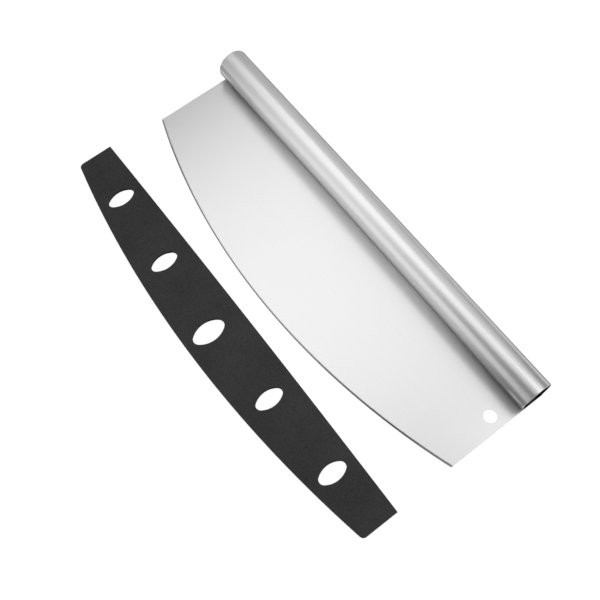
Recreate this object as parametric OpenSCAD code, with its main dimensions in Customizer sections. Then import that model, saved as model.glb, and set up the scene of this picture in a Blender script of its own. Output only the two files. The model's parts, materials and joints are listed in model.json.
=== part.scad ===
// Rocking pizza knife: a steel tube welded onto the back of a steel blade, with its guard taken off beside
// it. Millimetres. Each piece is drawn with the handle over X and the blade in the plane z = 0, and laid()
// then sets it down so that the guard lies on the ground.

/* [Handle] */
// Length of the handle
handle_len = 355.6; // [300:0.1:450]
// Outside diameter of the handle
handle_d = 25.4; // [22:0.1:32]
// Wall of the handle tube
tube_wall = 1.2; // [0.8:0.1:2]
// Radius of the rounded rims of the handle's open ends
rim_round = 0.6; // [0.2:0.1:0.7]

/* [Blade] */
// Thickness of the blade's sheet
blade_t = 1; // [0.8:0.1:1.6]
// How far the handle stands out past the blade at each end
overhang = 0; // [0:0.1:10]
// Depth of the blade's straight ends, from under the handle's axis
blade_end_depth = 72.7; // [60:0.1:80]
// Depth of the blade's belly at its middle, from under the handle's axis
blade_mid_depth = 102.2; // [95:0.1:130]
// How far the sheet goes on behind the handle's axis
back_reach = 9; // [7:0.1:12]
// Height of the ground bevel along the cutting edge
bevel_h = 1.4; // [0.8:0.1:4]
// Thickness left at the cutting edge
edge_t = 0.15; // [0.05:0.05:0.4]

/* [Hanging hole] */
// Diameter of the hanging hole
hang_d = 9.5; // [5:0.1:14]
// From the blade's right end to the hole's centre
hang_inset = 10.3; // [8:0.1:20]
// From under the handle's axis to the hole's centre
hang_depth = 29.1; // [22:0.1:50]

/* [Weld seams] */
// Radius of each weld bead
weld_r = 1.8; // [1:0.1:2.5]
// From the line where the handle touches the blade to the middle of each bead
weld_offset = 4.8; // [3:0.1:6]
// How far each seam stops short of the blade's ends
weld_setback = 1; // [0:0.1:5]

/* [Guard] */
// Wall of the guard
guard_wall = 0.7; // [0.6:0.1:1.5]
// Gap between the blade and each wall of the pocket
pocket_clear = 0.2; // [0.1:0.05:0.6]
// Play beyond the blade's straight ends, inside each end of the guard
guard_end_play = 1.9; // [0.5:0.1:4]
// Width of the guard at its ends
guard_end_w = 28.7; // [24:0.1:40]
// How far the lip bows out at its middle
lip_bow = 1.2; // [0.8:0.1:4]
// How far the closed edge bows out at its middle
edge_bow = 18.4; // [8:0.1:20]
// Radius of the guard's two closed corners
guard_corner_r = 3.6; // [2:0.1:8]
// Gap between the blade's belly and the guard's lip, with the guard taken off
guard_gap = 16.1; // [2:0.1:40]
// Share of the end play by which the guard lies to the left
guard_lie_share = 0.9; // [0:0.1:0.9]

/* [Guard holes] */
// Number of oval holes, an odd number
hole_count = 5; // [3:2:5]
// Distance between the centres of the holes
hole_pitch = 67.2; // [40:0.1:75]
// Width of each oval hole, along the guard
hole_w = 12.5; // [8:0.1:16]
// Height of each oval hole, across the guard
hole_h = 21.8; // [14:0.1:24]
// Width of the middle hole
mid_hole_w = 15.8; // [8:0.1:18]
// Height of the middle hole
mid_hole_h = 26; // [14:0.1:28]
// How far the middle hole lies from the guard's centre line towards the closed edge
mid_hole_drop = 4.1; // [0:0.1:6]

/* [Hidden] */

// Steps round a full circle, round the circles of the belly and the closed edge, and along the lip
$fn = 96;
long_arc_steps = 960;
lip_steps = 24;
// End radius of an oval hole, as a share of its width
oval_end_share = 0.32;
// Overrun of every cut past the face that it opens
over = 1.5;
// Amount by which a small arc stands past the line that it rounds off, so that the two cross at their join
blend = 0.002;

// Handle and blade, with the handle's axis at height axis_z over the blade's middle plane
handle_r = handle_d / 2;
bore_r = handle_r - tube_wall;
axis_z = blade_t / 2 + handle_r;
blade_len = handle_len - 2 * overhang;
belly_r = arc_r(blade_len / 2, blade_mid_depth - blade_end_depth);

// Guard, with the middle of its lip's chord at [guard_x, guard_lip_y]
guard_t = blade_t + 2 * (pocket_clear + guard_wall);
guard_len = blade_len + 2 * (guard_end_play + guard_wall);
guard_mid_w = lip_bow + guard_end_w + edge_bow;
guard_x = -guard_lie_share * guard_end_play;
guard_lip_y = -(blade_mid_depth + guard_gap + lip_bow);
lip_r = arc_r(guard_len / 2, lip_bow);
edge_r = arc_r(guard_len / 2, edge_bow);

// Middle of the whole
right_x = max(handle_len / 2, guard_x + guard_len / 2);
left_x = min(-handle_len / 2, guard_x - guard_len / 2);
mid_x = (left_x + right_x) / 2;
mid_y = (handle_r + guard_lip_y - guard_end_w - edge_bow) / 2;

// Radius of the arc that rises by bow over half a chord
function arc_r(half_chord, bow) = (half_chord * half_chord + bow * bow) / (2 * bow);

// Rise of an arc of radius r above its chord's ends, at x from its middle
function arc_rise(r, half_chord, x) = sqrt(r * r - x * x) - sqrt(r * r - half_chord * half_chord);

// Sets the knife and the guard down, with the origin under the middle of the whole
module laid() {
    translate([-mid_x, -mid_y, guard_t / 2]) children();
}

// Centres what it holds on z = 0, at thickness t
module sheet(t) {
    translate([0, 0, -t / 2]) linear_extrude(t) children();
}

// Half section of the tube's wall, with its outer rims rounded
module tube_section() {
    straight = handle_len - 2 * rim_round;
    translate([bore_r, -handle_len / 2]) square([tube_wall - rim_round, handle_len]);
    translate([bore_r, -straight / 2]) square([tube_wall, straight]);
    for (side = [-1, 1]) translate([handle_r - rim_round, side * straight / 2]) intersection() {
        circle(rim_round);
        translate([0, side < 0 ? -rim_round : 0]) square(rim_round);
    }
}

// Plain tube, open at both ends
module handle_tube() {
    color("lightgray") laid() translate([0, 0, axis_z]) rotate([0, 90, 0]) rotate_extrude() tube_section();
}

// Disc round the centre of the belly's arc, with the ground bevel on its rim
module bevel_disc() {
    half_t = blade_t / 2 + over;
    shoulder_r = belly_r - bevel_h * (half_t - edge_t / 2) / (blade_t / 2 - edge_t / 2);
    translate([0, belly_r - blade_mid_depth, 0]) rotate_extrude($fn = long_arc_steps)
        polygon([[0, -half_t], [shoulder_r, -half_t], [belly_r, -edge_t / 2], [belly_r, edge_t / 2],
                 [shoulder_r, half_t], [0, half_t]]);
}

module blade() {
    depth = blade_mid_depth + over;
    color("gainsboro") laid() difference() {
        intersection() {
            sheet(blade_t) translate([-blade_len / 2, -depth]) square([blade_len, depth + back_reach]);
            bevel_disc();
        }
        translate([blade_len / 2 - hang_inset, -hang_depth, 0])
            cylinder(d = hang_d, h = blade_t + over, center = true);
    }
}

// Section of a weld seam in the corner between the blade's top face and the tube, with x up from the
// blade's middle plane and y away from the line where the handle touches the blade
module weld_section() {
    difference() {
        translate([blade_t / 2, weld_offset]) circle(weld_r);
        translate([blade_t / 2 - 2 * weld_r, 0]) square([2 * weld_r, weld_offset + 2 * weld_r]);
        translate([axis_z, 0]) circle(handle_r);
    }
}

// Seam along the front of the handle
module weld_seam() {
    seam_len = blade_len - 2 * weld_setback;
    translate([-seam_len / 2, 0, 0]) rotate([0, -90, 180]) linear_extrude(seam_len) weld_section();
}

module front_weld_seam() {
    color("white") laid() weld_seam();
}

module back_weld_seam() {
    color("white") laid() mirror([0, 1, 0]) weld_seam();
}

// Outline of the guard, drawn in by inset on its ends and closed edge, with its lip left at its place
module guard_outline(inset) {
    half_len = guard_len / 2 - inset;
    r = edge_r - inset;
    corner_r = guard_corner_r - inset;
    edge_centre = [0, edge_r - guard_end_w - edge_bow];
    corner = [half_len - corner_r, edge_centre.y - sqrt(pow(r - corner_r, 2) - pow(half_len - corner_r, 2))];
    tangent = edge_centre + (corner - edge_centre) * r / (r - corner_r);
    difference() {
        intersection() {
            translate([-half_len, -guard_mid_w]) square([2 * half_len, 2 * guard_mid_w]);
            translate(edge_centre) circle(r, $fn = long_arc_steps);
        }
        for (side = [-1, 1]) mirror([side < 0 ? 1 : 0, 0]) difference() {
            polygon([corner, tangent, [half_len + over, tangent.y - over], [half_len + over, corner.y]]);
            translate(corner) circle(corner_r + blend);
        }
    }
}

// Everything on the guard's side of the lip's bowed line
module under_lip() {
    half = guard_len / 2 + over;
    low = guard_mid_w + over;
    line = [for (i = [-lip_steps : 2 : lip_steps]) let (x = half * i / lip_steps)
        [x, arc_rise(lip_r, guard_len / 2, x)]];
    polygon(concat(line, [[half, -low], [-half, -low]]));
}

// Centre of the oval hole at x, midway between the lip and the closed edge
function hole_y(x) = let (half = guard_len / 2)
    (arc_rise(lip_r, half, x) - guard_end_w - arc_rise(edge_r, half, x)) / 2;

// Oval of width w and height h, drawn with four arcs that run smoothly into each other
module oval(w, h) {
    end_r = oval_end_share * w;
    end_y = h / 2 - end_r;
    side_r = (w * w / 4 + h * h / 4 - h * end_r) / (w - 2 * end_r);
    join_y = end_y * side_r / (side_r - end_r);
    for (side = [-1, 1]) translate([0, side * end_y]) circle(end_r + blend);
    intersection() {
        translate([side_r - w / 2, 0]) circle(side_r);
        translate([w / 2 - side_r, 0]) circle(side_r);
        square([2 * w, 2 * join_y], center = true);
    }
}

module guard_holes() {
    last = (hole_count - 1) / 2;
    for (i = [-last : last]) let (x = i * hole_pitch) translate([x, hole_y(x)])
        if (i == 0) translate([0, -mid_hole_drop]) oval(mid_hole_w, mid_hole_h);
        else oval(hole_w, hole_h);
}

// One moulded sheath: two flat walls joined at the ends and along the curved edge, open at the lip
module blade_guard() {
    color([0.2, 0.2, 0.2]) laid() translate([guard_x, guard_lip_y, 0]) difference() {
        sheet(guard_t) intersection() {
            guard_outline(0);
            under_lip();
        }
        sheet(blade_t + 2 * pocket_clear) guard_outline(guard_wall);
        sheet(guard_t + over) guard_holes();
    }
}

handle_tube();
blade();
front_weld_seam();
back_weld_seam();
blade_guard();
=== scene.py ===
"""Rocking pizza knife: a tube handle welded onto a steel blade, with its black guard taken off beside it."""

import json
import math

import bmesh
import bpy
import numpy as np
from bpy.props import FloatProperty, FloatVectorProperty, IntProperty, PointerProperty
from mathutils import Matrix, Vector


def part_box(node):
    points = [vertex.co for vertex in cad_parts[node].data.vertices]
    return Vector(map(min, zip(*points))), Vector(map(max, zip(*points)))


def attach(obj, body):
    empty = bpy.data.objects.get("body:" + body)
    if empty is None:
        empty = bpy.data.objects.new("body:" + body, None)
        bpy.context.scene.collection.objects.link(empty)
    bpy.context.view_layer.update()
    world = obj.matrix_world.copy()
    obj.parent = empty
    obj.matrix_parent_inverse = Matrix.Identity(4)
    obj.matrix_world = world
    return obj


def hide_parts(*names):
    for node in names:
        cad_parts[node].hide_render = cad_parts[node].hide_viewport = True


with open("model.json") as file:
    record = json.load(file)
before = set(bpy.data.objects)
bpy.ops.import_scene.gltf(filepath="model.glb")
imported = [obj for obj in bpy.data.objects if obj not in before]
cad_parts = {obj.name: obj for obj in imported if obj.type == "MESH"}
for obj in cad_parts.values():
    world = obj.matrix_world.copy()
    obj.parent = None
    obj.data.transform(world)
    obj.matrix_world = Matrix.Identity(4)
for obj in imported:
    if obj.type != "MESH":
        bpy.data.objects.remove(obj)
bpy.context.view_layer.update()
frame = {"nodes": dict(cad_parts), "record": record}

bl_info = {
    "name": "Rocking pizza knife",
    "version": (1, 0, 0),
    "blender": (4, 5, 0),
    "location": "3D View > Sidebar > Pizza Knife",
    "description": "Builds a rocking pizza knife, its guard and a plain stage round the packed solids",
    "category": "Object",
}

MM = 0.001

# Points as near as this to the side of a node's box count as lying on it
ON_SIDE = 0.1 * MM
# Nearly all values of a noise lie between these two
TONE_LOW, TONE_HIGH = 0.3, 0.7
# The bore's painted shade begins this far inside the tube's outer face
BORE_DEPTH = 0.9 * MM
# Middle line of the painted shade on the tube, out and up from the handle's axis, as shares of its radius
SHADE_OUT_SHARE, SHADE_UP_SHARE = -0.9, 0.44
# Share of that painted shade's width within which it is full
SHADE_FULL_SHARE = 0.2
# Shares of the blade's half length between which the painted shade on the tube comes in
TUBE_SHADE_START_SHARE, TUBE_SHADE_END_SHARE = 0.55, 1.02
# Shares of the blade's half length past which its painted shade beside the joint comes in and the painted
# shade line on its bevel runs out
BLADE_SHADE_START_SHARE = 0.35
RUN_OUT_START_SHARE = 0.78
# Points nearer to each other than this, in metres, are one
SAME_SPOT = 1e-7
# Two edges that turn by a smaller sine than this run straight on
STRAIGHT = 1e-6
# The floor reaches this far, in metres, and a strength of 1 would show its white part as white
FLOOR_RADIUS = 12
FLOOR_WHITE_STRENGTH = 1.25
# Each softbox with its brightness setting, its tips from straight up towards the guard, and its leans from
# there towards the hanging hole, in degrees
SOFTBOXES = (
    ("overhead_softbox", "over_light", (-30, 15), (-42, 2)),
    ("back_softbox", "back_light", (-80, -30), (-42, 2)),
    ("front_softbox", "front_light", (45, 88), (-42, 2)),
    ("side_softbox", "side_light", (-50, -10), (8, 50)),
    ("fill_softbox", "fill_light", (15, 42), (-42, -8)),
)

# The knife's own frame has its origin under the middle of the handle, X along the handle, the blade in the
# plane z = 0 and the belly towards -Y. LAID moves it to where the knife lies.
tube_low, tube_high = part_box("handle_tube")
blade_low, blade_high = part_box("blade")
HANDLE_R = (tube_high.z - tube_low.z) / 2
LAID = Matrix.Translation(
    ((tube_low.x + tube_high.x) / 2, (tube_low.y + tube_high.y) / 2, (blade_low.z + blade_high.z) / 2)
)


def knife_points(node):
    """A CAD node's points in the knife's own frame."""
    back = LAID.inverted()
    return np.array([back @ v.co for v in frame["nodes"][node].data.vertices])


def arc_radius(half_chord, bow):
    """Radius of the arc that rises by bow over half a chord."""
    return (half_chord**2 + bow**2) / (2 * bow)


class BladeSizes:
    """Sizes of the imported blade, read from its points."""

    points = knife_points("blade")
    left, bottom, _ = points.min(0)
    right, back, half_t = points.max(0)
    middle_x = (left + right) / 2
    half_len = (right - left) / 2
    belly_r = arc_radius(half_len, points[points[:, 0] < left + ON_SIDE][:, 1].min() - bottom)


class GuardSizes:
    """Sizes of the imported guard, read from its points."""

    points = knife_points("blade_guard")
    low, high = points.min(0), points.max(0)
    half_len = (high[0] - low[0]) / 2
    middle_x = (high[0] + low[0]) / 2
    half_t = high[2]
    lip_y = points[points[:, 0] < low[0] + ON_SIDE][:, 1].max()
    lip_bow = high[1] - lip_y
    edge_drop = lip_y - low[1]


def length(name, description, millimetres):
    """A length that the user can set, with its default in millimetres."""
    return FloatProperty(
        name=name,
        description=description,
        default=millimetres * MM,
        min=0,
        precision=5,
        subtype="DISTANCE",
        unit="LENGTH",
    )


def share(name, description, value):
    """A share from 0 to 1 that the user can set."""
    return FloatProperty(
        name=name, description=description, default=value, min=0, max=1, subtype="FACTOR"
    )


def grey(name, description, value):
    """A colour that the user can set, a plain grey by default."""
    return FloatVectorProperty(
        name=name, description=description, default=(value, value, value), min=0, max=1, subtype="COLOR"
    )


def level(name, description, value):
    """A brightness that the user can set, at which 1 shows white as white."""
    return FloatProperty(name=name, description=description, default=value, min=0)


class HandleSettings(bpy.types.PropertyGroup):
    """Finish of the tube."""

    colour: grey("Colour", "Colour of the satin steel", 0.76)
    roughness: share("Roughness", "Mean roughness of the satin steel", 0.35)
    line_gap: length("Line gap", "Distance between the polishing lines", 0.12)
    # painted shade: the near-black colour inside the tube stands in for the shade in its bore
    bore_shade_colour: grey("Bore colour", "Colour of the dull inside of the tube", 0.05)
    # painted shade: this colour and width darken the tube's front towards its ends, standing in for darker
    # reflections there
    painted_shade_colour: grey("Tint colour", "Colour of the heat tint towards the ends of the tube", 0.28)
    painted_shade_width: length("Tint width", "How far the heat tint reaches round its middle line", 3.6)


class BladeSettings(bpy.types.PropertyGroup):
    """Shape and finish of the blade."""

    colour: grey("Colour", "Colour of the satin sheet", 0.74)
    roughness: share("Roughness", "Mean roughness of the satin sheet", 0.35)
    line_gap: length("Line gap", "Distance between the polishing lines", 0.15)
    # painted shade: this colour and width darken the sheet beside the ends of the welds, where the tube
    # shades it
    painted_shade_colour: grey("Tint colour", "Colour of the heat tint beside the ends of the welds", 0.27)
    painted_shade_width: length("Tint width", "From under the handle's axis to where the heat tint ends", 17)
    # painted shade: the bevel's dark colour over the given width paints the dark line along the belly
    bevel_shade_colour: grey("Bevel colour", "Colour of the ground bevel", 0.22)
    bevel_shade_width: length("Bevel finish", "Width of the freshly ground part of the bevel", 0.85)
    bevel_height: length("Bevel height", "Height of the ground bevel along the belly", 1.4)
    edge_thickness: length("Edge thickness", "Thickness left at the cutting edge", 0.15)
    edge_round: length("Edge rounding", "Radius of the broken edges of the sheet", 0.12)
    hang_diameter: length("Hanging hole", "Diameter of the hanging hole", 9.5)


class WeldSettings(bpy.types.PropertyGroup):
    """Shape and finish of the weld seams."""

    radius: length("Radius", "Radius of each weld bead", 1.8)
    offset: length("Offset", "From under the handle's axis to the middle of each bead", 4.8)
    ripple_pitch: length("Ripple pitch", "Distance between the ripples", 1.3)
    ripple_depth: share("Ripple depth", "Depth of the ripples, as a share of the radius", 0.07)
    colour: grey("Colour", "Colour of the weld metal", 0.72)
    roughness: share("Roughness", "Roughness of the weld metal", 0.3)


class GuardSettings(bpy.types.PropertyGroup):
    """Shape and finish of the guard."""

    wall: length("Wall", "Thickness of the guard's walls", 0.7)
    end_width: length("End width", "Width of the guard at its ends", 28.7)
    corner_radius: length("Corner radius", "Radius of the two closed corners", 3.6)
    rim_round: length("Rim rounding", "Radius of the guard's outer rims", 0.6)
    hole_round: length("Hole rounding", "Radius of the rims of the holes", 0.55)
    hole_count: IntProperty(name="Holes", description="Number of oval holes", default=5, min=1)
    hole_pitch: length("Hole pitch", "Distance between the centres of the holes", 67.2)
    hole_width: length("Hole width", "Width of each oval hole along the guard", 12.5)
    hole_height: length("Hole height", "Height of each oval hole across the guard", 21.8)
    middle_width: length("Middle hole width", "Width of the middle hole", 15.8)
    middle_height: length("Middle hole height", "Height of the middle hole", 26)
    middle_drop: length("Middle hole drop", "How far the middle hole lies towards the closed edge", 4.1)
    end_share: share("Oval end share", "End radius of an oval, as a share of its width", 0.32)
    colour: grey("Colour", "Colour of the moulded plastic", 0.03)
    roughness: share("Roughness", "Mean roughness of the plastic", 0.5)
    grain_size: length("Grain size", "Size of the moulded grain", 0.9)


class StageSettings(bpy.types.PropertyGroup):
    """Camera, floor and lights."""

    lens: FloatProperty(
        name="Lens", description="Focal length, in millimetres on a 36 mm sensor", default=48.721
    )
    camera_place: FloatVectorProperty(
        name="Camera place",
        description="Where the camera stands",
        default=(0.22181, -0.11661, 0.5469),
        subtype="XYZ",
        unit="LENGTH",
    )
    camera_aim: FloatVectorProperty(
        name="Camera aim",
        description="Point of the floor at the middle of the picture",
        default=(0.02009, -0.00222, 0),
        subtype="XYZ",
        unit="LENGTH",
    )
    camera_roll: FloatProperty(
        name="Camera roll",
        description="Turn of the picture about its middle",
        default=math.radians(-7.9345),
        subtype="ANGLE",
        unit="ROTATION",
    )
    floor_colour: grey("Floor colour", "Colour of the plain floor", 0.6)
    floor_white: share("Floor white", "How much of the floor's white is seen without the shadows on it", 0.75)
    light_reach: length("Light reach", "Distance of the softboxes from the knife", 1100)
    room_light: level("Room light", "Light from all round", 0.08)
    over_light: level("Overhead light", "Brightness of the overhead softbox", 1.31)
    back_light: level("Back light", "Brightness of the softbox behind the handle", 0.63)
    front_light: level("Front light", "Brightness of the softbox in front of the guard", 1.07)
    side_light: level("Side light", "Brightness of the softbox at the hanging hole's side", 2.53)
    fill_light: level("Fill light", "Brightness of the small softbox over the guard", 0.96)


class KnifeSettings(bpy.types.PropertyGroup):
    """Everything that the user can set."""

    handle: PointerProperty(type=HandleSettings)
    blade: PointerProperty(type=BladeSettings)
    welds: PointerProperty(type=WeldSettings)
    guard: PointerProperty(type=GuardSettings)
    stage: PointerProperty(type=StageSettings)


def place(tree, kind, inputs=None, **settings):
    """Adds a node, sets it up, and joins or fills its inputs by name or number."""
    node = tree.nodes.new(kind)
    for name, value in settings.items():
        setattr(node, name, value)
    for key, value in (inputs or {}).items():
        if isinstance(value, bpy.types.NodeSocket):
            tree.links.new(value, node.inputs[key])
        else:
            node.inputs[key].default_value = value
    return node


def calc(tree, operation, *values):
    """The output of a Math node."""
    return place(tree, "ShaderNodeMath", dict(enumerate(values)), operation=operation).outputs[0]


def mixed(tree, *shares):
    """The sum of some values, each times its share."""
    parts = [calc(tree, "MULTIPLY", value, part) for value, part in shares]
    total = parts[0]
    for part in parts[1:]:
        total = calc(tree, "ADD", total, part)
    return total


def new_group(name, kind, inputs, outputs):
    """A node group with named sockets, and its input and output nodes."""
    group = bpy.data.node_groups.new(name, kind)
    for socket_name, socket_type, value in inputs:
        socket = group.interface.new_socket(name=socket_name, in_out="INPUT", socket_type=socket_type)
        if value is not None:
            socket.default_value = value
    for socket_name, socket_type in outputs:
        group.interface.new_socket(name=socket_name, in_out="OUTPUT", socket_type=socket_type)
    return group, group.nodes.new("NodeGroupInput"), group.nodes.new("NodeGroupOutput")


def arrange(tree):
    """Sets the nodes out in columns, each to the right of those that feed it."""
    column_width, row_height = 220, 260
    column = {node: 0 for node in tree.nodes}
    for _ in tree.nodes:
        for link in tree.links:
            column[link.to_node] = max(column[link.to_node], column[link.from_node] + 1)
    filled = {}
    for node, place_x in column.items():
        row = filled.get(place_x, 0)
        node.location = (column_width * place_x, -row_height * row)
        filled[place_x] = row + 1


def brushed_lines_group():
    """Fine polishing lines along X, with broader streaks and soft patches among them."""
    group, given, out = new_group(
        "Brushed lines",
        "ShaderNodeTree",
        [
            ("Vector", "NodeSocketVector", None),
            ("Line Gap", "NodeSocketFloat", 0.15 * MM),
            ("Stretch", "NodeSocketFloat", 60.0),
        ],
        [("Height", "NodeSocketFloat"), ("Tone", "NodeSocketFloat")],
    )
    across = calc(group, "DIVIDE", 1.0, given.outputs["Line Gap"])
    along = calc(group, "DIVIDE", across, given.outputs["Stretch"])
    scale = place(group, "ShaderNodeCombineXYZ", {"X": along, "Y": across, "Z": across})
    stretched = place(
        group,
        "ShaderNodeVectorMath",
        {0: given.outputs["Vector"], 1: scale.outputs[0]},
        operation="MULTIPLY",
    )
    lines = place(
        group,
        "ShaderNodeTexNoise",
        {"Vector": stretched.outputs[0], "Scale": 1.0, "Detail": 2.0, "Roughness": 0.6},
    )
    streaks = place(
        group,
        "ShaderNodeTexNoise",
        {"Vector": stretched.outputs[0], "Scale": 0.14, "Detail": 3.0, "Roughness": 0.55},
    )
    patches = place(
        group, "ShaderNodeTexNoise", {"Vector": given.outputs["Vector"], "Scale": 24.0, "Detail": 2.0}
    )
    tone = mixed(group, (lines.outputs[0], 0.35), (streaks.outputs[0], 0.35), (patches.outputs[0], 0.3))
    group.links.new(lines.outputs[0], out.inputs["Height"])
    group.links.new(tone, out.inputs["Tone"])
    arrange(group)
    return group


def new_material(name):
    """A material with only its output, and that output."""
    material = bpy.data.materials.new(name)
    material.use_nodes = True
    material.node_tree.nodes.clear()
    return material, material.node_tree, material.node_tree.nodes.new("ShaderNodeOutputMaterial")


def knife_coordinates(tree):
    """Object coordinates moved into the knife's own frame."""
    coordinates = tree.nodes.new("ShaderNodeTexCoord")
    return place(
        tree,
        "ShaderNodeMapping",
        {"Vector": coordinates.outputs["Object"], "Location": LAID.to_translation()},
        vector_type="TEXTURE",
    ).outputs[0]


def between(tree, tone, low, high):
    """A value that runs from low to high as the tone does."""
    return place(
        tree,
        "ShaderNodeMapRange",
        {"Value": tone, "From Min": TONE_LOW, "From Max": TONE_HIGH, "To Min": low, "To Max": high},
    ).outputs[0]


def shades(tree, tone, colour, spread):
    """A colour that lightens and darkens a little with the tone."""
    dark = [c * (1 - spread) for c in colour]
    light = [min(1, c * (1 + spread)) for c in colour]
    ramp = place(tree, "ShaderNodeValToRGB", {"Fac": tone})
    ramp.color_ramp.elements[0].position = TONE_LOW
    ramp.color_ramp.elements[0].color = (*dark, 1)
    ramp.color_ramp.elements[1].position = TONE_HIGH
    ramp.color_ramp.elements[1].color = (*light, 1)
    return ramp.outputs[0]


def distance_from(tree, vector, first, second, centre):
    """How far a point is from a centre, measured in the plane of the two named axes."""
    parts = place(tree, "ShaderNodeSeparateXYZ", {"Vector": vector})
    squares = []
    for axis, middle in zip((first, second), centre):
        step = calc(tree, "SUBTRACT", parts.outputs[axis], middle)
        squares.append(calc(tree, "MULTIPLY", step, step))
    return calc(tree, "SQRT", calc(tree, "ADD", *squares))


def fade(tree, value, start, end):
    """A mask that runs smoothly from 0 at the start to 1 at the end."""
    return place(
        tree,
        "ShaderNodeMapRange",
        {"Value": value, "From Min": start, "From Max": end},
        interpolation_type="SMOOTHSTEP",
    ).outputs[0]


def either(tree, mask, plain, marked):
    """The plain colour, or the marked one where the mask is 1."""
    return place(tree, "ShaderNodeMix", {0: mask, 6: plain, 7: marked}, data_type="RGBA").outputs[2]


def steel_shader(tree, out, base, roughness, height, relief, grazing_shade_tint=1.0):
    """A metal surface with a fine relief. The grazing shade tint is painted shade: it darkens the reflection
    where the surface is seen at a low angle.
    """
    bump = place(tree, "ShaderNodeBump", {"Height": height, "Strength": 0.5, "Distance": relief})
    metal = place(
        tree,
        "ShaderNodeBsdfPrincipled",
        {
            "Base Color": base,
            "Roughness": roughness,
            "Metallic": 1.0,
            "Specular Tint": (grazing_shade_tint, grazing_shade_tint, grazing_shade_tint, 1),
            "Normal": bump.outputs[0],
        },
    )
    tree.links.new(metal.outputs[0], out.inputs["Surface"])
    arrange(tree)


def lines_on(tree, group, vector, gap, stretch):
    """The shared polishing lines on a surface, each as many times its gap long as the stretch says."""
    return place(
        tree,
        "ShaderNodeGroup",
        {"Vector": vector, "Line Gap": gap, "Stretch": stretch},
        node_tree=group,
    )


def handle_steel(settings, group):
    """Satin steel polished along the tube, with painted shade on its front towards its ends, painted shade in
    its near-black bore, and a painted darkening of its reflection at low angles.
    """
    material, tree, out = new_material("Handle satin steel")
    vector = knife_coordinates(tree)
    lines = lines_on(tree, group, vector, settings.line_gap, stretch=60.0)
    tone = lines.outputs["Tone"]
    spoke = distance_from(tree, vector, "Y", "Z", (0, BladeSizes.half_t + HANDLE_R))
    inside = calc(tree, "LESS_THAN", spoke, HANDLE_R - BORE_DEPTH)
    parts = place(tree, "ShaderNodeSeparateXYZ", {"Vector": vector})
    from_middle = calc(tree, "ABSOLUTE", parts.outputs["X"])
    half_len = BladeSizes.half_len
    start, end = TUBE_SHADE_START_SHARE * half_len, TUBE_SHADE_END_SHARE * half_len
    near_end = fade(tree, from_middle, start, end)
    shade_line = (SHADE_OUT_SHARE * HANDLE_R, BladeSizes.half_t + (1 + SHADE_UP_SHARE) * HANDLE_R)
    from_line = distance_from(tree, vector, "Y", "Z", shade_line)
    beside = fade(tree, from_line, settings.painted_shade_width, SHADE_FULL_SHARE * settings.painted_shade_width)
    broken_up = between(tree, tone, low=0.8, high=1.0)
    # painted shade on the tube's front towards its ends, broken up by the polishing tone
    satin = either(
        tree,
        calc(tree, "MULTIPLY", calc(tree, "MULTIPLY", near_end, beside), broken_up),
        plain=shades(tree, tone, settings.colour, spread=0.04),
        marked=shades(tree, tone, settings.painted_shade_colour, spread=0.2),
    )
    # painted shade: near-black colour inside the bore
    bore = shades(tree, tone, settings.bore_shade_colour, spread=0.3)
    steel_shader(
        tree,
        out,
        base=either(tree, inside, plain=satin, marked=bore),
        roughness=between(tree, tone, settings.roughness - 0.03, settings.roughness + 0.03),
        height=lines.outputs["Height"],
        relief=0.01 * MM,
        # painted shade: the tube's reflection darkens to near black where it is seen at a low angle
        grazing_shade_tint=0.05,
    )
    return material


def blade_steel(settings, group):
    """Satin sheet polished along the blade, with painted shade beside the joint's ends and a ground bevel
    darkened by a painted shade line.
    """
    material, tree, out = new_material("Blade satin steel")
    vector = knife_coordinates(tree)
    lines = lines_on(tree, group, vector, settings.line_gap, stretch=90.0)
    tone = lines.outputs["Tone"]
    belly_centre = (BladeSizes.middle_x, BladeSizes.bottom + BladeSizes.belly_r)
    spoke = distance_from(tree, vector, "X", "Y", belly_centre)
    parts = place(tree, "ShaderNodeSeparateXYZ", {"Vector": vector})
    from_middle = calc(tree, "ABSOLUTE", parts.outputs["X"])
    half_len = BladeSizes.half_len
    # painted shade line along the belly's bevel, narrowing to nothing towards the ends
    run_out = fade(tree, from_middle, start=half_len, end=RUN_OUT_START_SHARE * half_len)
    ground = calc(tree, "MULTIPLY", run_out, settings.bevel_shade_width)
    in_bevel_shade = calc(tree, "GREATER_THAN", spoke, calc(tree, "SUBTRACT", BladeSizes.belly_r, ground))
    from_joint = calc(tree, "ABSOLUTE", parts.outputs["Y"])
    # painted shade on the sheet beside the ends of the joint
    near_end = fade(tree, from_middle, start=BLADE_SHADE_START_SHARE * half_len, end=half_len)
    beside = fade(tree, from_joint, start=settings.painted_shade_width, end=settings.painted_shade_width / 2)
    sheet = either(
        tree,
        calc(tree, "MULTIPLY", near_end, beside),
        plain=shades(tree, tone, settings.colour, spread=0.03),
        marked=shades(tree, tone, settings.painted_shade_colour, spread=0.1),
    )
    # dark colour of the painted shade line on the bevel
    bevel = shades(tree, tone, settings.bevel_shade_colour, spread=0.1)
    steel_shader(
        tree,
        out,
        base=either(tree, in_bevel_shade, plain=sheet, marked=bevel),
        roughness=between(tree, tone, settings.roughness - 0.03, settings.roughness + 0.03),
        height=lines.outputs["Height"],
        relief=0.008 * MM,
    )
    return material


def weld_steel(settings):
    """Bright weld metal, a little mottled."""
    material, tree, out = new_material("Weld steel")
    mottle = place(
        tree, "ShaderNodeTexNoise", {"Vector": knife_coordinates(tree), "Scale": 900.0, "Detail": 3.0}
    )
    tone = mottle.outputs[0]
    steel_shader(
        tree,
        out,
        base=shades(tree, tone, settings.colour, spread=0.08),
        roughness=between(tree, tone, settings.roughness - 0.05, settings.roughness + 0.08),
        height=tone,
        relief=0.02 * MM,
    )
    return material


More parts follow.
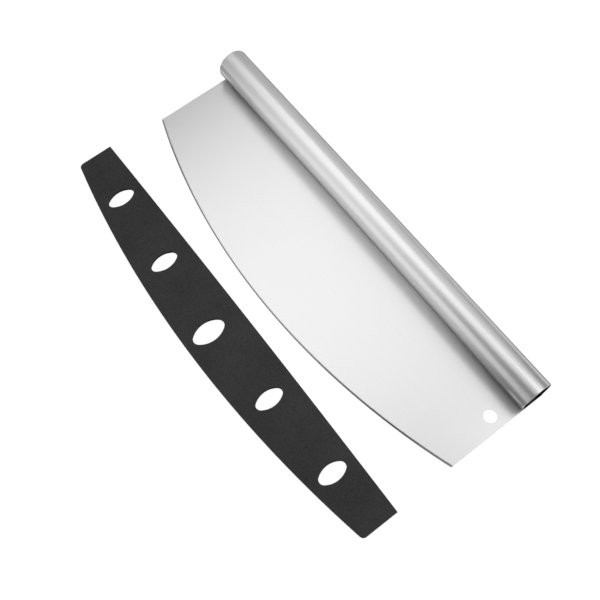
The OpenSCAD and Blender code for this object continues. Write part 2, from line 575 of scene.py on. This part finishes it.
def guard_plastic(settings):
    """Matte black plastic with the fine grain of its mould."""
    material, tree, out = new_material("Guard plastic")
    vector = knife_coordinates(tree)
    grain = place(
        tree,
        "ShaderNodeTexNoise",
        {"Vector": vector, "Scale": 1 / settings.grain_size, "Detail": 3.0, "Roughness": 0.65},
    )
    patches = place(tree, "ShaderNodeTexNoise", {"Vector": vector, "Scale": 30.0, "Detail": 2.0})
    tone = mixed(tree, (grain.outputs[0], 0.7), (patches.outputs[0], 0.3))
    bump = place(
        tree, "ShaderNodeBump", {"Height": grain.outputs[0], "Strength": 0.5, "Distance": 0.06 * MM}
    )
    plastic = place(
        tree,
        "ShaderNodeBsdfPrincipled",
        {
            "Base Color": shades(tree, tone, settings.colour, spread=0.6),
            "Roughness": between(tree, tone, settings.roughness - 0.05, settings.roughness + 0.08),
            "Metallic": 0.0,
            "Specular IOR Level": 0.25,
            "Normal": bump.outputs[0],
        },
    )
    tree.links.new(plastic.outputs[0], out.inputs["Surface"])
    arrange(tree)
    return material


def wear(obj, material):
    """Puts a material on an object in place of what it has."""
    obj.data.materials.clear()
    obj.data.materials.append(material)


def new_object(name, mesh):
    """An object at the origin that shows the mesh."""
    obj = bpy.data.objects.new(name, mesh)
    bpy.context.scene.collection.objects.link(obj)
    return obj


def arc(centre, radius, start, end, steps):
    """Points round a circle from the angle start to the angle end."""
    return [
        (centre[0] + radius * math.cos(a), centre[1] + radius * math.sin(a))
        for a in np.linspace(start, end, steps + 1)
    ]


def round_profile(radius, half_t, steps):
    """Insets and heights of an edge that is rounded from its face down to its side."""
    angles = np.linspace(0, math.pi / 2, steps + 1)
    return [(radius * (1 - math.sin(a)), half_t - radius * (1 - math.cos(a))) for a in angles]


def inset_point(before, point, after, inset_before, inset_after):
    """Where a corner goes when the two edges that meet at it move to their left by their insets."""
    normals = []
    for start, end in ((before, point), (point, after)):
        dx, dy = end[0] - start[0], end[1] - start[1]
        size = math.hypot(dx, dy)
        normals.append((-dy / size, dx / size))
    (ax, ay), (bx, by) = normals
    turn = ax * by - ay * bx
    if abs(turn) < STRAIGHT:
        return point[0] + ax * inset_before, point[1] + ay * inset_before
    return (
        point[0] + (inset_before * by - inset_after * ay) / turn,
        point[1] + (inset_after * ax - inset_before * bx) / turn,
    )


def plate_mesh(name, outlines):
    """A flat closed plate. Each outline is a list of (point, profile of the edge that starts there), with the
    metal on its left, and each profile gives insets and heights from the face down to the middle."""
    bm = bmesh.new()
    for outline in outlines:
        points = [p for p, _ in outline]
        profiles = [profile for _, profile in outline]
        count, upper, lower = len(points), [], []
        for step in range(len(profiles[0])):
            spots = []
            for i in range(count):
                before, after = profiles[i - 1][step], profiles[i][step]
                x, y = inset_point(points[i - 1], points[i], points[(i + 1) % count], before[0], after[0])
                spots.append((x, y, (before[1] + after[1]) / 2))
            upper.append([bm.verts.new(spot) for spot in spots])
            lower.append([bm.verts.new((x, y, -z)) for x, y, z in spots])
        rings = upper + lower[::-1]
        for above, below in zip(rings, rings[1:]):
            for i in range(count):
                j = (i + 1) % count
                bm.faces.new((above[i], below[i], below[j], above[j]))
    bmesh.ops.remove_doubles(bm, verts=bm.verts, dist=SAME_SPOT)
    bmesh.ops.dissolve_degenerate(bm, edges=bm.edges, dist=SAME_SPOT)
    open_edges = [e for e in bm.edges if e.is_boundary]
    for side in (1, -1):
        rim = [e for e in open_edges if e.verts[0].co.z * side > 0]
        bmesh.ops.triangle_fill(bm, edges=rim, use_beauty=True)
    bmesh.ops.recalc_face_normals(bm, faces=bm.faces)
    mesh = bpy.data.meshes.new(name)
    bm.to_mesh(mesh)
    bm.free()
    return mesh


def finish_mesh(obj, sharp_angle):
    """Smooth shading, broken at edges sharper than the angle, with flat faces kept flat up to their rims."""
    obj.data.shade_smooth()
    obj.data.set_sharp_from_angle(angle=sharp_angle)
    obj.modifiers.new("Flat faces", "WEIGHTED_NORMAL").keep_sharp = True
    baked(obj)


def baked(obj):
    """The object with its modifiers made part of its mesh."""
    evaluated = obj.evaluated_get(bpy.context.evaluated_depsgraph_get())
    mesh = bpy.data.meshes.new_from_object(evaluated)
    mesh.name = obj.name
    obj.modifiers.clear()
    obj.data = mesh
    return obj


def grow(obj, tree, inputs):
    """Runs a geometry node tree on an object with the inputs given by name, and keeps the plain mesh."""
    modifier = obj.modifiers.new(tree.name, "NODES")
    modifier.node_group = tree
    sockets = {s.name: s.identifier for s in tree.interface.items_tree if s.in_out == "INPUT"}
    for name, value in inputs.items():
        modifier[sockets[name]] = value
    return baked(obj)


def weld_tree():
    """A rippled bead along X, in the corner between the blade's face and the tube."""
    group, given, out = new_group(
        "Weld bead",
        "GeometryNodeTree",
        [
            ("Length", "NodeSocketFloat", 0.3),
            ("Radius", "NodeSocketFloat", 1.8 * MM),
            ("Ripple Pitch", "NodeSocketFloat", 1.3 * MM),
            ("Ripple Depth", "NodeSocketFloat", 0.07),
            ("Ripple Bow", "NodeSocketFloat", 0.6),
            ("Steps per Ripple", "NodeSocketFloat", 8.0),
            ("Material", "NodeSocketMaterial", None),
        ],
        [("Geometry", "NodeSocketGeometry")],
    )
    size = given.outputs
    ends = place(group, "ShaderNodeCombineXYZ", {"X": size["Length"]})
    line = place(group, "GeometryNodeCurvePrimitiveLine", {"End": ends.outputs[0]})
    ripples = calc(group, "DIVIDE", size["Length"], size["Ripple Pitch"])
    steps = calc(group, "MULTIPLY", ripples, size["Steps per Ripple"])
    path = place(group, "GeometryNodeResampleCurve", {"Curve": line.outputs[0], "Count": steps})
    # The bead's section is a little more than half a disc, so that it reaches into the blade's face
    overlap = math.radians(4)
    section = place(
        group,
        "GeometryNodeCurveArc",
        {
            "Resolution": 16,
            "Radius": size["Radius"],
            "Start Angle": -overlap,
            "Sweep Angle": math.pi + 2 * overlap,
            "Connect Center": True,
        },
    )
    bead = place(
        group,
        "GeometryNodeCurveToMesh",
        {"Curve": path.outputs[0], "Profile Curve": section.outputs[0], "Fill Caps": True},
    )
    where = group.nodes.new("GeometryNodeInputPosition")
    parts = place(group, "ShaderNodeSeparateXYZ", {"Vector": where.outputs[0]})
    radial = place(group, "ShaderNodeCombineXYZ", {"Y": parts.outputs["Y"], "Z": parts.outputs["Z"]})
    slant = calc(
        group,
        "DIVIDE",
        calc(group, "MULTIPLY", parts.outputs["Y"], parts.outputs["Z"]),
        calc(group, "MULTIPLY", size["Radius"], size["Radius"]),
    )
    phase = calc(
        group,
        "FRACT",
        calc(
            group,
            "ADD",
            calc(group, "DIVIDE", parts.outputs["X"], size["Ripple Pitch"]),
            calc(group, "ABSOLUTE", calc(group, "MULTIPLY", slant, size["Ripple Bow"])),
        ),
    )
    # Each ripple falls off slowly and then steeply to the next one
    steepness = 3.0
    dip = calc(group, "MULTIPLY", calc(group, "POWER", phase, steepness), size["Ripple Depth"])
    to_end = calc(
        group,
        "MINIMUM",
        parts.outputs["X"],
        calc(group, "SUBTRACT", size["Length"], parts.outputs["X"]),
    )
    # The bead rounds off within one radius of each end, to a blunt tip
    tip = 0.05
    from_tip = calc(group, "DIVIDE", calc(group, "MAXIMUM", to_end, 0.0), size["Radius"])
    taper = calc(group, "MINIMUM", 1.0, calc(group, "SQRT", calc(group, "ADD", tip, from_tip)))
    factor = calc(group, "SUBTRACT", calc(group, "MULTIPLY", calc(group, "SUBTRACT", 1.0, dip), taper), 1.0)
    shift = place(
        group, "ShaderNodeVectorMath", {0: radial.outputs[0], "Scale": factor}, operation="SCALE"
    )
    shaped = place(
        group, "GeometryNodeSetPosition", {"Geometry": bead.outputs[0], "Offset": shift.outputs[0]}
    )
    real = place(group, "GeometryNodeRealizeInstances", {0: shaped.outputs[0]})
    painted = place(
        group, "GeometryNodeSetMaterial", {"Geometry": real.outputs[0], "Material": size["Material"]}
    )
    group.links.new(painted.outputs[0], out.inputs["Geometry"])
    arrange(group)
    return group


def oval_cutter_nodes(group, size, width, height):
    """Nodes for one hole's cutter: an oval of four arcs that flares out at both faces of the guard."""
    rings = 16
    drum = place(
        group,
        "GeometryNodeMeshCylinder",
        {"Vertices": 96, "Side Segments": rings, "Radius": 1.0, "Depth": 2.0},
        fill_type="NGON",
    )
    where = group.nodes.new("GeometryNodeInputPosition")
    parts = place(group, "ShaderNodeSeparateXYZ", {"Vector": where.outputs[0]})
    x, y, z = parts.outputs
    end_r = calc(group, "MULTIPLY", width, size["Oval End Share"])
    half_w = calc(group, "DIVIDE", width, 2.0)
    half_h = calc(group, "DIVIDE", height, 2.0)
    end_y = calc(group, "SUBTRACT", half_h, end_r)
    squares = calc(
        group, "ADD", calc(group, "MULTIPLY", half_w, half_w), calc(group, "MULTIPLY", half_h, half_h)
    )
    side_r = calc(
        group,
        "DIVIDE",
        calc(group, "SUBTRACT", squares, calc(group, "MULTIPLY", height, end_r)),
        calc(group, "MULTIPLY", 2.0, calc(group, "SUBTRACT", half_w, end_r)),
    )
    side_x = calc(group, "SUBTRACT", side_r, half_w)
    on_end = calc(
        group,
        "GREATER_THAN",
        calc(group, "MULTIPLY", calc(group, "ABSOLUTE", y), side_x),
        calc(group, "MULTIPLY", calc(group, "ABSOLUTE", x), end_y),
    )
    off_end = calc(group, "SUBTRACT", 1.0, on_end)
    radius = calc(
        group,
        "ADD",
        calc(group, "MULTIPLY", on_end, end_r),
        calc(group, "MULTIPLY", off_end, side_r),
    )
    other_side = calc(group, "MULTIPLY", calc(group, "SIGN", x), -1.0)
    centre_x = calc(group, "MULTIPLY", calc(group, "MULTIPLY", off_end, side_x), other_side)
    centre_y = calc(group, "MULTIPLY", calc(group, "MULTIPLY", on_end, end_y), calc(group, "SIGN", y))
    # Up from the middle, the cutter is straight, then flares, then runs on past the guard's face
    up = calc(group, "ABSOLUTE", z)
    straight, flare = 1 / 8, 7 / 8
    overrun = 1 * MM
    core = calc(group, "MINIMUM", calc(group, "DIVIDE", up, straight), 1.0)
    turned = place(
        group,
        "ShaderNodeMapRange",
        {"Value": up, "From Min": straight, "From Max": flare, "To Min": 0.0, "To Max": math.pi / 2},
    ).outputs[0]
    beyond = place(
        group,
        "ShaderNodeMapRange",
        {"Value": up, "From Min": flare, "From Max": 1.0, "To Min": 0.0, "To Max": overrun},
    ).outputs[0]
    wall = calc(group, "SUBTRACT", size["Half Thickness"], size["Rim Radius"])
    in_wall = calc(group, "MULTIPLY", core, wall)
    in_rim = calc(group, "MULTIPLY", calc(group, "SINE", turned), size["Rim Radius"])
    height_up = calc(group, "ADD", calc(group, "ADD", in_wall, in_rim), beyond)
    opening = calc(group, "SUBTRACT", 1.0, calc(group, "COSINE", turned))
    flared = calc(group, "ADD", radius, calc(group, "MULTIPLY", size["Rim Radius"], opening))
    moved = place(
        group,
        "ShaderNodeCombineXYZ",
        {
            "X": calc(group, "ADD", centre_x, calc(group, "MULTIPLY", flared, x)),
            "Y": calc(group, "ADD", centre_y, calc(group, "MULTIPLY", flared, y)),
            "Z": calc(group, "MULTIPLY", calc(group, "SIGN", z), height_up),
        },
    )
    return place(
        group, "GeometryNodeSetPosition", {"Geometry": drum.outputs["Mesh"], "Position": moved.outputs[0]}
    ).outputs[0]


def holes_tree():
    """Cuts the pocket out of the guard, and a row of oval holes midway between its lip and closed edge."""
    group, given, out = new_group(
        "Guard perforations",
        "GeometryNodeTree",
        [
            ("Geometry", "NodeSocketGeometry", None),
            ("Pocket", "NodeSocketObject", None),
            ("Count", "NodeSocketInt", 5),
            ("Pitch", "NodeSocketFloat", 67.2 * MM),
            ("Width", "NodeSocketFloat", 12.5 * MM),
            ("Height", "NodeSocketFloat", 21.8 * MM),
            ("Middle Width", "NodeSocketFloat", 15.8 * MM),
            ("Middle Height", "NodeSocketFloat", 26 * MM),
            ("Middle Drop", "NodeSocketFloat", 4.1 * MM),
            ("Oval End Share", "NodeSocketFloat", 0.32),
            ("Rim Radius", "NodeSocketFloat", 0.5 * MM),
            ("Half Thickness", "NodeSocketFloat", 1.5 * MM),
            ("Half Length", "NodeSocketFloat", 0.17),
            ("End Width", "NodeSocketFloat", 28 * MM),
            ("Lip Radius", "NodeSocketFloat", 9.5),
            ("Edge Radius", "NodeSocketFloat", 0.9),
            ("Material", "NodeSocketMaterial", None),
        ],
        [("Geometry", "NodeSocketGeometry")],
    )
    size = given.outputs
    middle = calc(group, "DIVIDE", calc(group, "SUBTRACT", size["Count"], 1.0), 2.0)
    half_row = calc(group, "MULTIPLY", middle, size["Pitch"])
    start = place(group, "ShaderNodeCombineXYZ", {"X": calc(group, "MULTIPLY", half_row, -1.0)})
    step = place(group, "ShaderNodeCombineXYZ", {"X": size["Pitch"]})
    row = place(
        group,
        "GeometryNodeMeshLine",
        {"Count": size["Count"], "Start Location": start.outputs[0], "Offset": step.outputs[0]},
    )
    where = group.nodes.new("GeometryNodeInputPosition")
    x = place(group, "ShaderNodeSeparateXYZ", {"Vector": where.outputs[0]}).outputs["X"]
    x_squared = calc(group, "MULTIPLY", x, x)
    half_squared = calc(group, "MULTIPLY", size["Half Length"], size["Half Length"])

    def rise(radius):
        """Rise of an arc of that radius above its chord's ends."""
        squared = calc(group, "MULTIPLY", radius, radius)
        return calc(
            group,
            "SUBTRACT",
            calc(group, "SQRT", calc(group, "SUBTRACT", squared, x_squared)),
            calc(group, "SQRT", calc(group, "SUBTRACT", squared, half_squared)),
        )

    number = group.nodes.new("GeometryNodeInputIndex")
    is_middle = place(
        group, "FunctionNodeCompare", {0: number.outputs[0], 1: middle}, data_type="FLOAT", operation="EQUAL"
    ).outputs[0]
    midway = calc(
        group,
        "DIVIDE",
        calc(
            group,
            "SUBTRACT",
            calc(group, "SUBTRACT", rise(size["Lip Radius"]), size["End Width"]),
            rise(size["Edge Radius"]),
        ),
        2.0,
    )
    dropped = calc(group, "SUBTRACT", midway, calc(group, "MULTIPLY", is_middle, size["Middle Drop"]))
    spot = place(group, "ShaderNodeCombineXYZ", {"X": x, "Y": dropped})
    spots = place(group, "GeometryNodeSetPosition", {"Geometry": row.outputs[0], "Position": spot.outputs[0]})
    side_cutter = oval_cutter_nodes(group, size, size["Width"], size["Height"])
    middle_cutter = oval_cutter_nodes(group, size, size["Middle Width"], size["Middle Height"])
    kinds = place(group, "GeometryNodeGeometryToInstance")
    group.links.new(middle_cutter, kinds.inputs[0])
    group.links.new(side_cutter, kinds.inputs[0])
    cutters = place(
        group,
        "GeometryNodeInstanceOnPoints",
        {
            "Points": spots.outputs[0],
            "Instance": kinds.outputs[0],
            "Pick Instance": True,
            "Instance Index": is_middle,
        },
    )
    real_cutters = place(group, "GeometryNodeRealizeInstances", {0: cutters.outputs[0]})
    pocket = place(group, "GeometryNodeObjectInfo", {"Object": size["Pocket"]}, transform_space="ORIGINAL")
    pierced = place(
        group,
        "GeometryNodeMeshBoolean",
        {"Mesh 1": size["Geometry"]},
        operation="DIFFERENCE",
        solver="EXACT",
    )
    group.links.new(real_cutters.outputs[0], pierced.inputs["Mesh 2"])
    group.links.new(pocket.outputs["Geometry"], pierced.inputs["Mesh 2"])
    real = place(group, "GeometryNodeRealizeInstances", {0: pierced.outputs[0]})
    painted = place(
        group, "GeometryNodeSetMaterial", {"Geometry": real.outputs[0], "Material": size["Material"]}
    )
    group.links.new(painted.outputs[0], out.inputs["Geometry"])
    arrange(group)
    return group


def guard_outline(settings, inset, lip_profile, rim_profile, lip_reach):
    """The guard's outline, drawn in by inset on its ends and closed edge, with its lip moved by lip_reach."""
    corner_steps, edge_steps, lip_steps = 14, 220, 40
    size = GuardSizes
    lip_r = arc_radius(size.half_len, size.lip_bow)
    edge_bow = size.edge_drop - settings.end_width
    edge_r = arc_radius(size.half_len, edge_bow)
    half_len = size.half_len - inset
    r, corner_r = edge_r - inset, settings.corner_radius - inset
    centre_y = edge_r - size.edge_drop
    corner_x = half_len - corner_r
    corner_y = centre_y - math.sqrt((r - corner_r) ** 2 - corner_x**2)
    spread = math.asin(corner_x / (r - corner_r))
    down = -math.pi / 2
    left_corner = arc((-corner_x, corner_y), corner_r, math.pi, 3 * math.pi / 2 - spread, corner_steps)
    closed_edge = arc((0, centre_y), r, down - spread, down + spread, edge_steps)
    right_corner = arc((corner_x, corner_y), corner_r, down + spread, 0, corner_steps)
    lip = [
        (x, lip_reach + math.sqrt(lip_r**2 - x**2) - math.sqrt(lip_r**2 - size.half_len**2))
        for x in np.linspace(half_len, -half_len, lip_steps + 1)
    ]
    rim = left_corner[:-1] + closed_edge[:-1] + right_corner
    return [(p, rim_profile) for p in rim] + [(p, lip_profile) for p in lip[:-1]] + [(lip[-1], rim_profile)]


def build_guard(settings):
    """The guard: a rounded plate, its pocket and its holes."""
    size = GuardSizes
    rim_steps, pocket_steps = 6, 2
    lip_round, pocket_round = settings.wall / 3, 0.3 * MM
    pocket_overrun = 1.5 * MM
    rim = round_profile(settings.rim_round, size.half_t, rim_steps)
    lip = round_profile(lip_round, size.half_t, rim_steps)
    outline = guard_outline(settings, 0, lip, rim, 0)
    guard = new_object("guard_sheath", plate_mesh("guard_sheath", [outline]))
    inner = round_profile(pocket_round, size.half_t - settings.wall, pocket_steps)
    pocket_outline = guard_outline(settings, settings.wall, inner, inner, pocket_overrun)
    pocket = new_object("guard_pocket", plate_mesh("guard_pocket", [pocket_outline]))
    edge_bow = size.edge_drop - settings.end_width
    plastic = guard_plastic(settings)
    grow(
        guard,
        holes_tree(),
        {
            "Pocket": pocket,
            "Count": settings.hole_count,
            "Pitch": settings.hole_pitch,
            "Width": settings.hole_width,
            "Height": settings.hole_height,
            "Middle Width": settings.middle_width,
            "Middle Height": settings.middle_height,
            "Middle Drop": settings.middle_drop,
            "Oval End Share": settings.end_share,
            "Rim Radius": settings.hole_round,
            "Half Thickness": size.half_t,
            "Half Length": size.half_len,
            "End Width": settings.end_width,
            "Lip Radius": arc_radius(size.half_len, size.lip_bow),
            "Edge Radius": arc_radius(size.half_len, edge_bow),
            "Material": plastic,
        },
    )
    bpy.data.objects.remove(pocket)
    guard.data.polygons.foreach_set("material_index", [0] * len(guard.data.polygons))
    wear(guard, plastic)
    finish_mesh(guard, sharp_angle=math.radians(35))
    guard.data.transform(LAID @ Matrix.Translation((size.middle_x, size.lip_y, 0)))
    return guard


def build_blade(settings, group):
    """The blade: a sheet with broken edges, a ground bevel along its belly and a hanging hole."""
    size = BladeSizes
    rim_steps, belly_steps, hole_steps = 4, 240, 96
    half_edge = settings.edge_thickness / 2
    bevel = [
        (settings.bevel_height * (1 - s), half_edge + (size.half_t - half_edge) * (1 - s))
        for s in np.linspace(0, 1, rim_steps + 1)
    ]
    broken = round_profile(settings.edge_round, size.half_t, rim_steps)
    centre_y = size.bottom + size.belly_r
    spread = math.asin(size.half_len / size.belly_r)
    down = -math.pi / 2
    belly = arc((size.middle_x, centre_y), size.belly_r, down - spread, down + spread, belly_steps)
    corners = [(size.right, size.back), (size.left, size.back)]
    outline = [(p, bevel) for p in belly[:-1]] + [(belly[-1], broken)] + [(p, broken) for p in corners]
    mount = frame["record"]["mounts"][0]
    hang = LAID.inverted() @ Vector(mount["pos_m"])
    hole = arc(hang[:2], settings.hang_diameter / 2, 2 * math.pi, 0, hole_steps)[:-1]
    blade = new_object("blade_sheet", plate_mesh("blade_sheet", [outline, [(p, broken) for p in hole]]))
    finish_mesh(blade, sharp_angle=math.radians(13))
    blade.data.transform(LAID)
    wear(blade, blade_steel(settings, group))
    return blade


class KNIFE_OT_handle(bpy.types.Operator):
    """Gives the handle tube its finish"""

    bl_idname = "pizza_knife.handle"
    bl_label = "Finish handle"

    def execute(self, context):
        settings = context.scene.pizza_knife.handle
        group = bpy.data.node_groups.get("Brushed lines") or brushed_lines_group()
        wear(frame["nodes"]["handle_tube"], handle_steel(settings, group))
        return {"FINISHED"}


class KNIFE_OT_blade(bpy.types.Operator):
    """Builds the blade"""

    bl_idname = "pizza_knife.blade"
    bl_label = "Build blade"

    def execute(self, context):
        group = bpy.data.node_groups.get("Brushed lines") or brushed_lines_group()
        blade = build_blade(context.scene.pizza_knife.blade, group)
        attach(blade, "knife")
        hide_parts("blade")
        return {"FINISHED"}


class KNIFE_OT_welds(bpy.types.Operator):
    """Builds the weld seams in front of and behind the handle"""

    bl_idname = "pizza_knife.welds"
    bl_label = "Build weld seams"

    def execute(self, context):
        settings = context.scene.pizza_knife.welds
        material = weld_steel(settings)
        tree = weld_tree()
        for name, node, side in (("front_weld", "front_weld_seam", -1), ("back_weld", "back_weld_seam", 1)):
            along = knife_points(node)[:, 0]
            seam = grow(
                new_object(name, bpy.data.meshes.new(name)),
                tree,
                {
                    "Length": along.max() - along.min(),
                    "Radius": settings.radius,
                    "Ripple Pitch": settings.ripple_pitch,
                    "Ripple Depth": settings.ripple_depth,
                    "Material": material,
                },
            )
            middle = Matrix.Translation((along.min(), side * settings.offset, BladeSizes.half_t))
            # The tree's bead hangs down, so it is turned over
            turn = Matrix.Diagonal((1, side, -1, 1))
            seam.data.transform(LAID @ middle @ turn)
            if turn.determinant() < 0:
                seam.data.flip_normals()
            finish_mesh(seam, sharp_angle=math.radians(40))
            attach(seam, "knife")
            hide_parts(node)
        return {"FINISHED"}


class KNIFE_OT_guard(bpy.types.Operator):
    """Builds the guard with its pocket and its oval holes"""

    bl_idname = "pizza_knife.guard"
    bl_label = "Build guard"

    def execute(self, context):
        guard = build_guard(context.scene.pizza_knife.guard)
        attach(guard, "guard")
        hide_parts("blade_guard")
        return {"FINISHED"}


def build_floor(settings):
    """A plain pale floor that the camera sees almost white, and that keeps the object's shadow."""
    bm = bmesh.new()
    bmesh.ops.create_circle(bm, cap_ends=True, radius=FLOOR_RADIUS, segments=96)
    mesh = bpy.data.meshes.new("floor")
    bm.to_mesh(mesh)
    bm.free()
    floor = new_object("floor", mesh)
    material, tree, out = new_material("Floor")
    path = tree.nodes.new("ShaderNodeLightPath")
    seen = calc(tree, "MAXIMUM", path.outputs["Is Camera Ray"], path.outputs["Is Glossy Ray"])
    seen = calc(tree, "MAXIMUM", seen, path.outputs["Is Transmission Ray"])
    white_share = calc(tree, "MULTIPLY", seen, settings.floor_white)
    plain = place(tree, "ShaderNodeBsdfDiffuse", {"Color": (*settings.floor_colour, 1)})
    white = place(
        tree, "ShaderNodeEmission", {"Color": (1, 1, 1, 1), "Strength": FLOOR_WHITE_STRENGTH}
    )
    both = place(tree, "ShaderNodeMixShader", {0: white_share, 1: plain.outputs[0], 2: white.outputs[0]})
    tree.links.new(both.outputs[0], out.inputs["Surface"])
    arrange(tree)
    wear(floor, material)


def build_world(settings):
    """An even grey room."""
    world = bpy.data.worlds.new("Studio")
    bpy.context.scene.world = world
    world.use_nodes = True
    tree = world.node_tree
    tree.nodes.clear()
    out = tree.nodes.new("ShaderNodeOutputWorld")
    room = place(tree, "ShaderNodeBackground", {"Color": (1, 1, 1, 1), "Strength": settings.room_light})
    tree.links.new(room.outputs[0], out.inputs["Surface"])
    arrange(tree)


def softbox(name, reach, brightness, tips, leans):
    """A rectangular soft light that looks at the knife and fills the angles between its tips and leans."""
    light = bpy.data.lights.new(name, "AREA")
    light.shape = "RECTANGLE"
    lean = math.radians(sum(leans) / 2)
    light.size = 2 * reach * math.tan(math.radians(leans[1] - leans[0]) / 2)
    light.size_y = 2 * reach * math.tan(math.radians(tips[1] - tips[0]) / 2) * math.cos(lean)
    light.energy = brightness * math.pi * light.size * light.size_y
    lamp = bpy.data.objects.new(name, light)
    turn = Matrix.Rotation(math.radians(sum(tips) / 2), 4, "X") @ Matrix.Rotation(lean, 4, "Y")
    lamp.matrix_world = turn @ Matrix.Translation((0, 0, reach))
    bpy.context.scene.collection.objects.link(lamp)


def build_camera(settings):
    """The camera of the photograph."""
    data = bpy.data.cameras.new("camera")
    data.sensor_width, data.lens = 36, settings.lens
    data.clip_start, data.clip_end = 0.01, 20
    camera = bpy.data.objects.new("camera", data)
    line = Vector(settings.camera_aim) - Vector(settings.camera_place)
    turn = line.to_track_quat("-Z", "Y").to_matrix() @ Matrix.Rotation(settings.camera_roll, 3, "Z")
    camera.location = settings.camera_place
    camera.rotation_euler = turn.to_euler()
    bpy.context.scene.collection.objects.link(camera)
    bpy.context.scene.camera = camera


class KNIFE_OT_stage(bpy.types.Operator):
    """Sets up the floor, the room light, the softboxes and the camera"""

    bl_idname = "pizza_knife.stage"
    bl_label = "Set up stage"

    def execute(self, context):
        settings = context.scene.pizza_knife.stage
        context.scene.view_settings.view_transform = "Standard"
        build_floor(settings)
        build_world(settings)
        for name, brightness, tips, leans in SOFTBOXES:
            softbox(name, settings.light_reach, getattr(settings, brightness), tips, leans)
        build_camera(settings)
        return {"FINISHED"}


class KNIFE_PT_panel(bpy.types.Panel):
    """Lists the settings and the steps of the pizza knife"""

    bl_label = "Rocking pizza knife"
    bl_idname = "KNIFE_PT_panel"
    bl_space_type = "VIEW_3D"
    bl_region_type = "UI"
    bl_category = "Pizza Knife"

    def draw(self, context):
        settings = context.scene.pizza_knife
        for part, operator in STEPS:
            box = self.layout.box()
            box.operator(operator.bl_idname)
            group = getattr(settings, part)
            for name in group.__annotations__:
                box.prop(group, name)


STEPS = (
    ("handle", KNIFE_OT_handle),
    ("blade", KNIFE_OT_blade),
    ("welds", KNIFE_OT_welds),
    ("guard", KNIFE_OT_guard),
    ("stage", KNIFE_OT_stage),
)
CLASSES = (
    HandleSettings,
    BladeSettings,
    WeldSettings,
    GuardSettings,
    StageSettings,
    KnifeSettings,
    *(operator for _, operator in STEPS),
    KNIFE_PT_panel,
)


def register():
    """Adds the classes and the scene's settings."""
    for cls in CLASSES:
        bpy.utils.register_class(cls)
    bpy.types.Scene.pizza_knife = PointerProperty(type=KnifeSettings)


def unregister():
    """Takes them away again."""
    del bpy.types.Scene.pizza_knife
    for cls in reversed(CLASSES):
        bpy.utils.unregister_class(cls)


def main():
    """Builds everything."""
    register()
    for part, _ in STEPS:
        getattr(bpy.ops.pizza_knife, part)()


if __name__ == "__main__":
    main()
